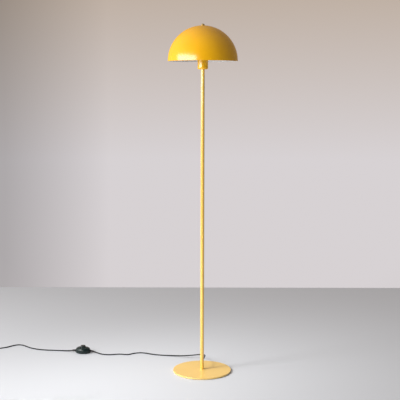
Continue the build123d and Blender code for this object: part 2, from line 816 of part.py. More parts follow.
# Lower shell: screw bosses, saddles for the cord, half of each cord hole.
with BuildPart() as switch_base:
    add(pebble(0))
    add(pebble(switch_wall), mode=Mode.SUBTRACT)
    with BuildSketch(switch_ground.offset(switch_floor - switch_wall / 2)):
        with GridLocations(0, switch_boss_spread, 1, 2):
            Circle(switch_boss_diameter / 2)
    extrude(amount=switch_split - switch_floor + switch_wall / 2)
    split(bisect_by=switch_ground.offset(switch_split), keep=Keep.BOTTOM)
    with BuildSketch(switch_ground.offset(switch_floor - switch_wall / 2)):
        with GridLocations(2 * saddle_distance, 0, 2, 1):
            Rectangle(saddle_length, saddle_width)
    extrude(amount=saddle_top - switch_floor + switch_wall / 2)
    for side in (1, -1):
        frame = sleeve_frame(side)[0]
        with BuildSketch(Plane(origin=frame.origin, z_dir=-frame.x_dir)):
            Circle(sleeve_neck_diameter / 2 + fit_gap)
        extrude(amount=sleeve_collar_thickness + sleeve_lip_inset, mode=Mode.SUBTRACT)
        with BuildSketch(Plane(origin=frame.origin, z_dir=-frame.x_dir)):
            Circle(cord_diameter / 2 + fit_gap)
        extrude(amount=switch_length / 2, mode=Mode.SUBTRACT)
    with BuildSketch(switch_ground.offset(saddle_top)):
        with GridLocations(2 * saddle_distance, clamp_screw_spread, 2, 2):
            Circle(clamp_screw_diameter / 2 + fit_gap)
    extrude(amount=clamp_thickness - clamp_screw_length - rest_gap, mode=Mode.SUBTRACT)
    with Locations(switch_base.faces().sort_by(Axis.Z)[0]):
        with GridLocations(0, switch_boss_spread, 1, 2):
            CounterBoreHole(
                radius=switch_screw_diameter / 2 + fit_gap,
                counter_bore_radius=switch_screw_head_diameter / 2 + fit_gap,
                counter_bore_depth=switch_screw_head_height + switch_wall / 2,
                depth=switch_split,
            )
save(switch_base, "switch_base")

# Upper shell: domed, with a raised collar round the button, bosses for the screws and a fine
# groove above the parting line.
screw_bottom = switch_foot_height + switch_wall / 2
screw_top = screw_bottom + switch_screw_length
with BuildPart() as switch_cover:
    add(pebble(0))
    add(pebble(switch_wall), mode=Mode.SUBTRACT)
    split(bisect_by=switch_ground.offset(switch_split), keep=Keep.TOP)
    with BuildSketch(switch_ground.offset(switch_split)):
        Ellipse(switch_length / 2, switch_width / 2)
        Ellipse(
            switch_length / 2 - switch_shadow_gap,
            switch_width / 2 - switch_shadow_gap,
            mode=Mode.SUBTRACT,
        )
    extrude(amount=switch_shadow_gap, mode=Mode.SUBTRACT)
    with BuildSketch(switch_ground.offset(switch_split)):
        with GridLocations(0, switch_boss_spread, 1, 2):
            Circle(switch_boss_diameter / 2)
    extrude(amount=screw_top + switch_boss_cap - switch_split)
    with BuildSketch(switch_ground.offset(switch_ceiling + switch_wall / 2)):
        Circle(switch_collar_diameter / 2)
    extrude(amount=switch_wall / 2 + switch_collar_height)
    fillet(
        switch_cover.faces().sort_by(Axis.Z)[-1].edges().sort_by(SortBy.RADIUS)[-1],
        radius=switch_collar_height / 2,
    )
    with BuildSketch(switch_ground.offset(switch_split)):
        Circle(button_diameter / 2 + button_gap)
    extrude(amount=switch_height, mode=Mode.SUBTRACT)
    with BuildSketch(switch_ground.offset(switch_split)):
        with GridLocations(0, switch_boss_spread, 1, 2):
            Circle(switch_screw_diameter / 2 + fit_gap)
    extrude(amount=screw_top - switch_split + fit_gap, mode=Mode.SUBTRACT)
    for side in (1, -1):
        frame = sleeve_frame(side)[0]
        with BuildSketch(Plane(origin=frame.origin, z_dir=-frame.x_dir)):
            Circle(sleeve_neck_diameter / 2 + fit_gap)
        extrude(amount=sleeve_collar_thickness + sleeve_lip_inset, mode=Mode.SUBTRACT)
save(switch_cover, "switch_cover")

# Four rubber feet.
with BuildPart() as switch_feet:
    with BuildSketch(switch_ground):
        with GridLocations(switch_foot_spread_x, switch_foot_spread_y, 2, 2):
            Circle(switch_foot_diameter / 2)
    extrude(amount=switch_foot_height)
save(switch_feet, "switch_feet")

# Two screws that hold the shells together.
with BuildPart() as switch_screws:
    with BuildSketch(switch_ground.offset(screw_bottom)):
        with GridLocations(0, switch_boss_spread, 1, 2):
            Circle(switch_screw_head_diameter / 2)
    extrude(amount=switch_screw_head_height)
    with BuildSketch(switch_ground.offset(screw_bottom)):
        with GridLocations(0, switch_boss_spread, 1, 2):
            Circle(switch_screw_diameter / 2)
    extrude(amount=switch_screw_length)
save(switch_screws, "switch_screws")

# Push button: a hollow cap with a shallow recess on top, a flange that stops under the cover,
# and a guide stem.
block_face = switch_floor + switch_block_height
flange_top = switch_ceiling - rest_gap
stem_end = block_face - button_stem_bore_depth + button_travel + button_stem_end_gap
button_ceiling = button_height - button_wall
with BuildPart() as switch_button:
    with BuildSketch(switch_side):
        with BuildLine():
            Polyline(
                (0, button_height - button_recess_depth),
                (button_recess_diameter / 2, button_height - button_recess_depth),
                (button_recess_diameter / 2 + button_recess_depth, button_height),
                (button_diameter / 2, button_height),
                (button_diameter / 2, flange_top),
                (button_flange_diameter / 2, flange_top),
                (button_flange_diameter / 2, flange_top - button_flange_thickness),
                (button_diameter / 2 - button_wall, flange_top - button_flange_thickness),
                (button_diameter / 2 - button_wall, button_ceiling),
                (button_stem_diameter / 2, button_ceiling),
                (button_stem_diameter / 2, stem_end),
                (0, stem_end),
                close=True,
            )
        make_face()
    revolve(axis=switch_axis)
    top_edges = switch_button.faces().sort_by(Axis.Z)[-1].edges()
    fillet(top_edges.sort_by(SortBy.RADIUS)[-1], radius=button_edge_radius)
save(switch_button, "switch_button")

# Return spring round the stem, one unbroken wire.
spring_radius = button_spring_diameter / 2
spring_bottom = block_face + button_spring_wire / 2 + button_spring_end_gap
spring_rise = button_ceiling - button_spring_wire / 2 - button_spring_end_gap - spring_bottom
half_rise = spring_rise / (2 * button_spring_turns)


def spring_station(half_turns):
    """Centre-line point and heading of the spring after so many half turns."""
    way = 1 if half_turns % 2 == 0 else -1
    point = Vector(switch_x + way * spring_radius, switch_y, spring_bottom + half_turns * half_rise)
    return point, Vector(0, way * math.pi * spring_radius, half_rise).normalized()


with BuildPart() as button_spring:
    with BuildLine() as spring_line:
        for half in range(2 * button_spring_turns):
            biarc(*spring_station(half), *spring_station(half + 1))
    spring_path = spring_line.wires()[0]
    with BuildSketch(Plane(origin=spring_path @ 0, z_dir=spring_path % 0)):
        Circle(button_spring_wire / 2)
    sweep(path=spring_path)
save(button_spring, "button_spring")

# Moulded block with the switch's contacts, bored for the button's stem.
with BuildPart() as switch_block:
    with BuildSketch(switch_ground.offset(switch_floor)):
        Rectangle(switch_block_length, switch_block_width)
    extrude(amount=switch_block_height)
    with Locations(switch_block.faces().sort_by(Axis.Z)[-1]):
        Hole(radius=button_stem_diameter / 2 + 2 * fit_gap, depth=button_stem_bore_depth)
save(switch_block, "switch_block")

# Brass terminals at both ends of the block.
with BuildPart() as switch_terminals:
    with BuildSketch(switch_ground.offset(switch_split - terminal_height / 2)):
        with GridLocations(switch_block_length + terminal_length, 0, 2, 1):
            Rectangle(terminal_length, terminal_width)
    extrude(amount=terminal_height)
save(switch_terminals, "switch_terminals")

# Straps that hold the cord down on its saddles.
with BuildPart() as cord_clamps:
    with BuildSketch(switch_ground.offset(saddle_top)):
        with GridLocations(2 * saddle_distance, 0, 2, 1):
            Rectangle(saddle_length, saddle_width)
        with GridLocations(2 * saddle_distance, clamp_screw_spread, 2, 2):
            Circle(clamp_screw_diameter / 2 + fit_gap, mode=Mode.SUBTRACT)
    extrude(amount=clamp_thickness)
save(cord_clamps, "cord_clamps")


def sleeve(side):
    """A rubber sleeve in one end of the switch: lip, neck, collar and a tail that bends with the cord."""
    frame, bend = sleeve_frame(side)
    lip_face = -sleeve_collar_thickness - fit_gap - sleeve_lip_inset
    entry = entries[side]
    straight = entry.edges()[0].length / entry.length
    with BuildPart() as body:
        with BuildSketch(frame):
            with BuildLine():
                Polyline(
                    (lip_face - sleeve_lip_thickness, 0),
                    (lip_face - sleeve_lip_thickness, sleeve_lip_diameter / 2),
                    (lip_face, sleeve_lip_diameter / 2),
                    (lip_face, sleeve_neck_diameter / 2),
                    (-sleeve_collar_thickness, sleeve_neck_diameter / 2),
                    (-sleeve_collar_thickness, sleeve_collar_diameter / 2),
                    (0, sleeve_collar_diameter / 2),
                    (0, 0),
                    close=True,
                )
            make_face()
        revolve(axis=Axis(frame.origin, frame.x_dir))
        for station in range(sleeve_stations):
            share = station / (sleeve_stations - 1)
            along = straight + (1 - straight) * share
            with BuildSketch(Plane(origin=entry @ along, x_dir=frame.z_dir, z_dir=entry % along)):
                Circle((sleeve_root_diameter * (1 - share) + sleeve_tip_diameter * share) / 2)
        loft()
        with BuildSketch(Plane(origin=entry @ 0, z_dir=entry % 0)):
            Circle(bore_radius)
        sweep(path=entry, mode=Mode.SUBTRACT)
    return body


save(sleeve(1), "sleeve_lamp_side")
save(sleeve(-1), "sleeve_plug_side")

# The cord's two ends inside the switch, from the sleeves' tips to the terminals.
with BuildPart() as switch_tails:
    for side in (1, -1):
        with BuildSketch(Plane(origin=entries[side] @ 0, z_dir=entries[side] % 0)):
            Circle(cord_diameter / 2)
        sweep(path=entries[side])
save(switch_tails, "switch_tails")

# Four screws through the straps into the saddles.
with BuildPart() as clamp_screws:
    with BuildSketch(switch_ground.offset(saddle_top + clamp_thickness)):
        with GridLocations(2 * saddle_distance, clamp_screw_spread, 2, 2):
            Circle(clamp_screw_head_diameter / 2)
    extrude(amount=clamp_screw_head_height)
    with BuildSketch(switch_ground.offset(saddle_top + clamp_thickness)):
        with GridLocations(2 * saddle_distance, clamp_screw_spread, 2, 2):
            Circle(clamp_screw_diameter / 2)
    extrude(amount=-clamp_screw_length)
save(clamp_screws, "clamp_screws")

# ---------- mains cord ----------

on_floor = cord_diameter / 2
lamp_side_end, lamp_side_way = entries[1] @ 1, entries[1] % 1
plug_side_end, plug_side_way = entries[-1] @ 1, entries[-1] % 1

# From the bushing, down over the rear edge of the base, and in loose waves to the switch.
lamp_points = [
    tuple(tail_tip),
    tuple(tail_tip + exit_way * bushing_approach),
    (14, 92, 42),
    (10.5, 126, 33),
    (1, 157, 25.5),
    (-16, 175, 20),
    (-45, 181.5, 15),
    (-83, 193, 9),
    (-122, 209.5, 4.2),
    (-170, 219.5, on_floor),
    (-226, 232.5, on_floor),
    (-273, 262, on_floor),
    (-315, 256, on_floor),
    (-343, 226, on_floor),
    (-381, 241, on_floor),
    (-425, 226, on_floor),
    (-462, 233, on_floor),
    tuple(lamp_side_end + lamp_side_way * sleeve_approach),
    tuple(lamp_side_end),
]
with BuildPart() as cord_to_switch:
    with BuildLine() as lamp_line:
        FilletPolyline(*lamp_points, radius=corner_radii(lamp_points))
    lamp_path = lamp_line.wires()[0]
    with BuildSketch(Plane(origin=tail_tip, z_dir=exit_way)):
        Circle(cord_diameter / 2)
    sweep(path=lamp_path)
report_tube("cord_to_switch", cord_to_switch.part, lamp_path, corner_radii(lamp_points))
save(cord_to_switch, "cord_to_switch")


def coil_turn_radius(half_turns):
    """The coil's radius after so many half turns: in on the lower layer, out on the upper one."""
    if half_turns <= coil_half_turns + 1:
        return coil_radius - half_turns * coil_pitch / 2
    return coil_turn_radius(coil_half_turns + 1) + (half_turns - coil_half_turns) * coil_pitch / 2


def coil_station(half_turns):
    """Centre-line point and heading of the coil after so many half turns."""
    way = 1 if half_turns % 2 == 0 else -1
    layer = 1 if half_turns > coil_half_turns else 0
    point = Vector(coil_x, coil_y + way * coil_turn_radius(half_turns), on_floor + layer * coil_pitch)
    return point, Vector(-way, 0, 0)


# Neat round coil in two layers: in on the floor, up a layer at the middle, and out again.
with BuildPart() as cord_coil:
    last_half = 2 * coil_half_turns + 2
    with BuildLine() as coil_line:
        for half in range(last_half):
            biarc(*coil_station(half), *coil_station(half + 1))
        out_point, out_way = coil_station(last_half)
        next_point = coil_station(last_half + 1)[0]
        out_radius = (out_point - next_point).length / 2
        TangentArc(
            out_point,
            (coil_x - out_radius, out_point.Y - out_radius, out_point.Z),
            tangent=out_way,
        )
    coil_path = coil_line.wires()[0]
    with BuildSketch(Plane(origin=coil_path @ 0, z_dir=coil_path % 0)):
        Circle(cord_diameter / 2)
    sweep(path=coil_path)
coil_gap = least_self_gap(coil_path, cord_diameter, 2 * math.pi * coil_radius)
print(f"cord_coil: least gap to itself {coil_gap:.2f}")
report_tube("cord_coil", cord_coil.part, coil_path, [coil_turn_radius(half) for half in range(last_half)])
save(cord_coil, "cord_coil")

# From the switch, in one wide bend and one narrow one, to the coil.
coil_start = coil_path @ 0
plug_points = [
    tuple(plug_side_end),
    tuple(plug_side_end + plug_side_way * sleeve_approach),
    (-655, 292, on_floor),
    (-700, 296, on_floor),
    (-745, 302, on_floor),
    (-786, 316, on_floor),
    (-822, 341, on_floor),
    (-847, 370, on_floor),
    (-866, 385, on_floor),
    (-888, 386, on_floor),
    (-907, 371, on_floor),
    (-929, 344, on_floor),
    (-956, 328, on_floor),
    (-978, 318.5, on_floor),
    (coil_start.X + coil_approach, coil_start.Y, on_floor),
    tuple(coil_start),
]
with BuildPart() as cord_to_coil:
    with BuildLine() as plug_line:
        FilletPolyline(*plug_points, radius=corner_radii(plug_points))
    plug_path = plug_line.wires()[0]
    with BuildSketch(Plane(origin=plug_points[0], z_dir=plug_side_way)):
        Circle(cord_diameter / 2)
    sweep(path=plug_path)
report_tube("cord_to_coil", cord_to_coil.part, plug_path, corner_radii(plug_points))
save(cord_to_coil, "cord_to_coil")

# Short run from the coil's outer turn to the plug.
plug_axis_height = plug_thickness / 2
coil_end = coil_path @ 1
end_points = [
    tuple(coil_end),
    (coil_end.X, coil_end.Y - coil_approach, coil_end.Z),
    (plug_x, plug_tail_y + plug_approach, plug_axis_height),
    (plug_x, plug_tail_y, plug_axis_height),
]
with BuildPart() as cord_to_plug:
    with BuildLine() as end_line:
        FilletPolyline(*end_points, radius=corner_radii(end_points))
    end_path = end_line.wires()[0]
    with BuildSketch(Plane(origin=end_points[0], z_dir=(0, -1, 0))):
        Circle(cord_diameter / 2)
    sweep(path=end_path)
report_tube("cord_to_plug", cord_to_plug.part, end_path, corner_radii(end_points))
save(cord_to_plug, "cord_to_plug")

# ---------- plug ----------

body_rear = plug_tail_y - plug_relief_length
pin_face = body_rear - plug_body_length
cheek_rear = pin_face + plug_cheek_length


def plug_section(y):
    """A plane across the plug at y, looking out of the pins' face."""
    return Plane(origin=(plug_x, y, plug_axis_height), x_dir=(1, 0, 0), z_dir=(0, -1, 0))


# Moulded body with grip grooves and a tapered relief, and the insulating sleeves of the pins.
grip_middle = (cheek_rear + body_rear) / 2
relief_side = Plane(origin=(plug_x, plug_tail_y, plug_axis_height), x_dir=(0, -1, 0), z_dir=(1, 0, 0))
with BuildPart() as plug_body:
    with BuildSketch(Plane.XY):
        with BuildLine():
            Polyline(
                (plug_x - plug_width / 2, pin_face),
                (plug_x + plug_width / 2, pin_face),
                (plug_x + plug_width / 2, cheek_rear),
                (plug_x + plug_shoulder_width / 2, body_rear),
                (plug_x - plug_shoulder_width / 2, body_rear),
                (plug_x - plug_width / 2, cheek_rear),
                close=True,
            )
        make_face()
    extrude(amount=plug_thickness)
    fillet(plug_body.edges(), radius=plug_edge_radius)
    for face_height, inwards in ((0, 1), (plug_thickness, -1)):
        with BuildSketch(Plane.XY.offset(face_height)):
            with Locations((plug_x, grip_middle)):
                with GridLocations(0, plug_grip_pitch, 1, plug_grip_count):
                    SlotOverall(plug_grip_length, plug_grip_width)
        extrude(amount=inwards * plug_grip_depth, mode=Mode.SUBTRACT)
    with BuildSketch(relief_side):
        with BuildLine():
            Polyline(
                (0, 0),
                (0, plug_relief_tip_diameter / 2),
                (plug_relief_length + plug_relief_overlap, plug_relief_root_diameter / 2),
                (plug_relief_length + plug_relief_overlap, 0),
                close=True,
            )
        make_face()
    revolve(axis=Axis((plug_x, plug_tail_y, plug_axis_height), (0, -1, 0)))
    with BuildSketch(plug_section(pin_face)):
        with GridLocations(plug_pin_spacing, 0, 2, 1):
            Circle(plug_pin_diameter / 2)
    extrude(amount=plug_pin_length - plug_pin_tip_length)
    with BuildSketch(plug_section(pin_face + plug_pin_depth)):
        with GridLocations(plug_pin_spacing, 0, 2, 1):
            Circle(plug_pin_core_diameter / 2 + fit_gap)
    extrude(amount=plug_pin_depth + plug_pin_length, mode=Mode.SUBTRACT)
save(plug_body, "plug_body")

# Two round pins, thin in their sleeves and full size at the tips.
tip_start = pin_face - plug_pin_length + plug_pin_tip_length
with BuildPart() as plug_pins:
    with BuildSketch(plug_section(pin_face + plug_pin_depth)):
        with GridLocations(plug_pin_spacing, 0, 2, 1):
            Circle(plug_pin_core_diameter / 2)
    extrude(amount=plug_pin_depth + plug_pin_length - plug_pin_tip_length)
    with BuildSketch(plug_section(tip_start)):
        with GridLocations(plug_pin_spacing, 0, 2, 1):
            Circle(plug_pin_diameter / 2)
    extrude(amount=plug_pin_tip_length)
    fillet(plug_pins.faces().group_by(Axis.Y)[0].edges(), radius=plug_pin_rounding)
save(plug_pins, "plug_pins")

total = lamp_path.length + coil_path.length + plug_path.length + end_path.length
print(f"free cord from the lamp to the plug: {total:.0f}")
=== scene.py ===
from math import acos, asin, cos, pi, radians, sin, tan

import bmesh
import bpy
import numpy as np
from mathutils import Matrix, Vector


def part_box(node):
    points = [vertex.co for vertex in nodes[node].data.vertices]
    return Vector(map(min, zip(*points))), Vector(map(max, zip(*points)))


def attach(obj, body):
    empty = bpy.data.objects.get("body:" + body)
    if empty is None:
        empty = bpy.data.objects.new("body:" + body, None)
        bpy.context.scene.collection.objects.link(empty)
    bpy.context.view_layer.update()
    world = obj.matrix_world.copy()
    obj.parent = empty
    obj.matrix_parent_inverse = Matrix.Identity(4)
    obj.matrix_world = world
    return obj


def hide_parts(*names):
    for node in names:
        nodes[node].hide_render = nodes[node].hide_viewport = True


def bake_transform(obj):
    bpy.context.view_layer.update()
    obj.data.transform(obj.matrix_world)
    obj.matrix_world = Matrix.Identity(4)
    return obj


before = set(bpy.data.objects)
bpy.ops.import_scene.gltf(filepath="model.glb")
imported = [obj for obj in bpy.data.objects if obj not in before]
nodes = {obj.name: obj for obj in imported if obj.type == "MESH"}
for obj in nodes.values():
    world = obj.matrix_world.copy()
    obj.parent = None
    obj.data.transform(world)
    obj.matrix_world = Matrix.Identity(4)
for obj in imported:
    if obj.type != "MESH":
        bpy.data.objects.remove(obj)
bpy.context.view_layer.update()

# ---------------------------------------------------------------------------------------------
# Camera. It stands 3.86 m in front of the pole at chest height and looks down a little, with the
# long lens of the photograph and the same small tilt.
film_width_mm = 36.0
lens_length_mm = 81.72
camera_place = (-0.0105, -3.858, 1.245)
camera_dip = radians(7.233)
camera_roll = radians(0.13)
camera_data = bpy.data.cameras.new("camera")
camera_data.sensor_width = film_width_mm
camera_data.lens = lens_length_mm
camera = bpy.data.objects.new("camera", camera_data)
camera.matrix_world = (
    Matrix.Translation(camera_place)
    @ Matrix.Rotation(pi / 2 - camera_dip, 4, "X")
    @ Matrix.Rotation(camera_roll, 4, "Z")
)
bpy.context.scene.collection.objects.link(camera)
bpy.context.scene.camera = camera


# ---------------------------------------------------------------------------------------------
# Mains cord. Round two-core lead in a black PVC sheath, 5 mm thick, which runs from the rear of the
# pole along the floor to the foot switch, and on to a coil of spare length and the flat plug. Each
# run is drawn as one round spline along its route.
cord_thickness = 0.005


def surface_nodes(name):
    """A new material with a principled shader, its node tree and the object's own coordinates."""
    material = bpy.data.materials.new(name)
    material.use_nodes = True
    tree = material.node_tree
    shader = tree.nodes["Principled BSDF"]
    place = tree.nodes.new("ShaderNodeTexCoord").outputs["Object"]
    return material, tree, shader, place


def grain(tree, place, scale, detail, roughness=0.5):
    """Noise over the object's coordinates; scale is in grains per metre."""
    noise = tree.nodes.new("ShaderNodeTexNoise")
    noise.inputs["Scale"].default_value = scale
    noise.inputs["Detail"].default_value = detail
    noise.inputs["Roughness"].default_value = roughness
    tree.links.new(place, noise.inputs["Vector"])
    return noise.outputs["Fac"]


def spread(tree, value, low, high, start=0.3, end=0.7):
    """The value, which mostly lies from start to end, stretched to run from low to high."""
    stretch = tree.nodes.new("ShaderNodeMapRange")
    stretch.inputs["From Min"].default_value = start
    stretch.inputs["From Max"].default_value = end
    stretch.inputs["To Min"].default_value = low
    stretch.inputs["To Max"].default_value = high
    tree.links.new(value, stretch.inputs["Value"])
    return stretch.outputs["Result"]


def tone(tree, shader, value, dark, light):
    """Base colour that runs from dark to light with the value."""
    blend = tree.nodes.new("ShaderNodeMix")
    blend.data_type = "RGBA"
    blend.inputs["A"].default_value = (*dark, 1)
    blend.inputs["B"].default_value = (*light, 1)
    tree.links.new(value, blend.inputs["Factor"])
    tree.links.new(blend.outputs["Result"], shader.inputs["Base Color"])


def relief(tree, shader, value, depth):
    """Bump from the value, depth metres from its lowest to its highest."""
    bump = tree.nodes.new("ShaderNodeBump")
    bump.inputs["Strength"].default_value = 1.0
    bump.inputs["Distance"].default_value = depth
    tree.links.new(value, bump.inputs["Height"])
    tree.links.new(bump.outputs["Normal"], shader.inputs["Normal"])


def moulded(name, dark, light, roughness, grain_size, depth, sheen_level=0.5):
    """Moulded rubber or plastic: a spark-eroded grain, a faint cloudiness and uneven gloss."""
    material, tree, shader, place = surface_nodes(name)
    clouds = grain(tree, place, scale=60, detail=3)
    tone(tree, shader, spread(tree, clouds, 0, 1), dark, light)
    patches = grain(tree, place, scale=150, detail=2)
    gloss = spread(tree, patches, roughness - 0.05, roughness + 0.07)
    tree.links.new(gloss, shader.inputs["Roughness"])
    relief(tree, shader, grain(tree, place, scale=1 / grain_size, detail=1), depth)
    shader.inputs["Specular IOR Level"].default_value = sheen_level
    return material


cord_sheath = moulded(
    "cord_sheath",
    dark=(0.004, 0.006, 0.007),
    light=(0.009, 0.012, 0.013),
    roughness=0.50,
    grain_size=0.0012,
    depth=0.00006,
    sheen_level=0.1,
)


def laid_cord(name, points):
    """A round cord whose centre line is one smooth spline drawn towards the points."""
    curve = bpy.data.curves.new(name, "CURVE")
    curve.dimensions = "3D"
    curve.bevel_depth = cord_thickness / 2
    curve.bevel_resolution = 5
    curve.use_fill_caps = True
    spline = curve.splines.new("NURBS")
    spline.points.add(len(points) - 1)
    spline.points.foreach_set("co", np.column_stack([points, np.ones(len(points))]).ravel())
    spline.order_u = 3
    spline.use_endpoint_u = True
    spline.resolution_u = 8
    curve.materials.append(cord_sheath)
    cord = bpy.data.objects.new(name, curve)
    bpy.context.scene.collection.objects.link(cord)
    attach(cord, "lamp")
    return cord


lamp_side_route = np.array([
    (0.007079, 0.033306, 0.047),
    (0.012485, 0.058738, 0.047),
    (0.014, 0.092, 0.042),
    (0.0105, 0.126, 0.033),
    (0.001, 0.157, 0.0255),
    (-0.016, 0.175, 0.020),
    (-0.045, 0.1815, 0.015),
    (-0.083, 0.193, 0.009),
    (-0.122, 0.2095, 0.0042),
    (-0.170, 0.2195, 0.0025),
    (-0.226, 0.2325, 0.0025),
    (-0.273, 0.262, 0.0025),
    (-0.315, 0.256, 0.0025),
    (-0.343, 0.226, 0.0025),
    (-0.381, 0.241, 0.0025),
    (-0.425, 0.226, 0.0025),
    (-0.462, 0.233, 0.0025),
    (-0.488425, 0.253051, 0.00448),
    (-0.506808, 0.259742, 0.008639),
])
cord_lamp_side = laid_cord("cord_lamp_side", lamp_side_route)
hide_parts("cord_to_switch")

plug_side_route = np.array([
    (-0.605192, 0.276258, 0.008639),
    (-0.623575, 0.282949, 0.00448),
    (-0.655, 0.292, 0.0025),
    (-0.700, 0.296, 0.0025),
    (-0.745, 0.302, 0.0025),
    (-0.786, 0.316, 0.0025),
    (-0.822, 0.341, 0.0025),
    (-0.847, 0.370, 0.0025),
    (-0.866, 0.385, 0.0025),
    (-0.888, 0.386, 0.0025),
    (-0.907, 0.371, 0.0025),
    (-0.929, 0.344, 0.0025),
    (-0.956, 0.328, 0.0025),
    (-0.978, 0.3185, 0.0025),
    (-0.993, 0.313, 0.0025),
])
coil_centre = np.array([-1.009, 0.280])
coil_radius = 0.033
coil_pitch = 0.0055
coil_halves_in = 4
coil_halves = 10.5
points_in_half_turn = 8


def coil_route():
    """Spiral in on the floor, up one layer in the fifth half turn, and out again on top.

    Point h half turns along: centre + r(h) (-sin(pi h), cos(pi h)), with r falling by half a pitch
    each half turn on the way in and growing by the same on the way out. The points stand a little
    outside the turns, because the spline is drawn inside its points.
    """
    h = np.arange(1, coil_halves * points_in_half_turn) / points_in_half_turn
    turning = coil_halves_in + 1
    halves_out = coil_halves - turning - 1
    inmost = coil_radius - turning * coil_pitch / 2
    first_out = inmost + coil_pitch
    outmost = first_out + halves_out * coil_pitch / 2
    marks = [0, turning, turning + 1, coil_halves]
    radius = np.interp(h, marks, [coil_radius, inmost, first_out, outmost])
    reach = radius / (0.5 + 0.5 * cos(pi / points_in_half_turn)) ** 0.5
    level = cord_thickness / 2 + coil_pitch * np.clip(h - coil_halves_in, 0, 1)
    return np.column_stack([
        coil_centre[0] - reach * np.sin(pi * h),
        coil_centre[1] + reach * np.cos(pi * h),
        level,
    ])


plug_route = np.array([
    (-1.046125, 0.278625, 0.008),
    (-1.046125, 0.262625, 0.008),
    (-1.047, 0.2445, 0.00685),
    (-1.047, 0.2285, 0.00685),
])
cord_plug_side = laid_cord("cord_plug_side", np.vstack([plug_side_route, coil_route(), plug_route]))
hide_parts("cord_to_coil", "cord_coil", "cord_to_plug")

# ---------------------------------------------------------------------------------------------
# Shade. A half-round dome pressed from 1 mm steel sheet, with a flat land round the stud's hole at
# the crown and a rolled hem at the rim. It is powder-coated glossy yellow outside, and white inside
# and round the underside of the hem.
shade_low, shade_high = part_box("shade")
shade_wall = 0.001
hem_radius = 0.0011
land_radius = 0.010
stud_hole_radius = 0.00305
dome_radius = shade_high.x
dome_centre = shade_low.z + hem_radius
orange_peel_size = 0.0011
coat_roughness = 0.22
coat_index = 2.2


def powder_coat(name, dark, light, roughness, gloss_coat, sheen_level=0.5, depth=0.000012):
    """Baked powder coat: its tone drifts slowly, its gloss a little, and its skin has orange peel."""
    material, tree, shader, place = surface_nodes(name)
    drift = grain(tree, place, scale=9, detail=3)
    tone(tree, shader, spread(tree, drift, 0, 1), dark, light)
    patches = grain(tree, place, scale=35, detail=3)
    gloss = spread(tree, patches, roughness - 0.04, roughness + 0.05)
    tree.links.new(gloss, shader.inputs["Roughness"])
    peel = grain(tree, place, scale=1 / orange_peel_size, detail=1, roughness=0.4)
    relief(tree, shader, peel, depth)
    shader.inputs["Specular IOR Level"].default_value = sheen_level
    shader.inputs["Coat Weight"].default_value = gloss_coat
    shader.inputs["Coat Roughness"].default_value = coat_roughness
    shader.inputs["Coat IOR"].default_value = coat_index
    return material


def skin(name, rings, closed):
    """A smooth mesh over rings of points, an array of (rings, turns, 3).

    Faces join point j of ring i to its neighbours j + 1 and i + 1, and the last ring to the first
    one where the rings are closed. Points that fall together, as at a pole, become one.
    """
    count, turns = rings.shape[:2]
    ring = np.arange(count if closed else count - 1)[:, None]
    turn = np.arange(turns)[None, :]
    below, above = ring * turns, (ring + 1) % count * turns
    after = (turn + 1) % turns
    faces = np.stack([below + turn, below + after, above + after, above + turn], axis=-1)
    mesh = bpy.data.meshes.new(name)
    mesh.from_pydata(rings.reshape(-1, 3).tolist(), [], faces.reshape(-1, 4).tolist())
    shell = bmesh.new()
    shell.from_mesh(mesh)
    bmesh.ops.remove_doubles(shell, verts=shell.verts, dist=1e-7)
    bmesh.ops.recalc_face_normals(shell, faces=shell.faces)
    shell.to_mesh(mesh)
    shell.free()
    mesh.shade_smooth()
    piece = bpy.data.objects.new(name, mesh)
    piece.modifiers.new("flat_faces_stay_flat", "WEIGHTED_NORMAL")
    bpy.context.scene.collection.objects.link(piece)
    return piece


def lathe(name, outline, turns):
    """A body turned about Z: outline point (r, z) at the angle a goes to (r cos a, r sin a, z)."""
    r, z = np.array(outline).T
    angle = np.arange(turns) * 2 * pi / turns
    x = np.outer(r, np.cos(angle))
    y = np.outer(r, np.sin(angle))
    level = np.repeat(z[:, None], turns, axis=1)
    return skin(name, np.stack([x, y, level], axis=-1), closed=True)


def arc(centre_r, centre_z, radius, start, end, steps):
    """Points of an arc in the (r, z) half plane, at (r, z) + radius (cos a, sin a), in degrees."""
    a = np.radians(np.linspace(start, end, steps + 1))
    return np.column_stack([centre_r + radius * np.cos(a), centre_z + radius * np.sin(a)])


yellow_coat = powder_coat(
    "yellow_coat",
    dark=(0.89, 0.443, 0.002),
    light=(0.95, 0.488, 0.004),
    roughness=0.36,
    gloss_coat=0.45,
    sheen_level=0.0,
)
white_inside = powder_coat(
    "white_inside",
    dark=(0.84, 0.84, 0.83),
    light=(0.89, 0.89, 0.88),
    roughness=0.50,
    gloss_coat=0.05,
)

inner_radius = dome_radius - shade_wall
land_top = np.sqrt(dome_radius**2 - land_radius**2) + dome_centre
land_underside = land_top - shade_wall
crown_angle = np.degrees(acos(land_radius / dome_radius))
inner_crown_angle = np.degrees(asin((land_underside - dome_centre) / inner_radius))
inner_hem_angle = np.degrees(asin(hem_radius / inner_radius))
dome_steps = 48
hem_steps = 14
hem_start_angle = 95
hem_end_angle = 348
white_hem_steps = hem_steps * 3 // 4
shade_turns = 192
outside = arc(0, dome_centre, dome_radius, 0, crown_angle, dome_steps)
hem = arc(dome_radius - hem_radius, dome_centre, hem_radius, hem_start_angle, hem_end_angle, hem_steps)
inside = arc(0, dome_centre, inner_radius, inner_crown_angle, inner_hem_angle, dome_steps)
land = np.array([(stud_hole_radius, land_top), (stud_hole_radius, land_underside)])
shade_outline = np.vstack([outside, land, inside, hem])
shade_piece = lathe("shade_dome", shade_outline, turns=shade_turns)
shade_piece.data.materials.append(yellow_coat)
shade_piece.data.materials.append(white_inside)
first_white = len(outside) + 1
last_white = first_white + len(inside) + white_hem_steps
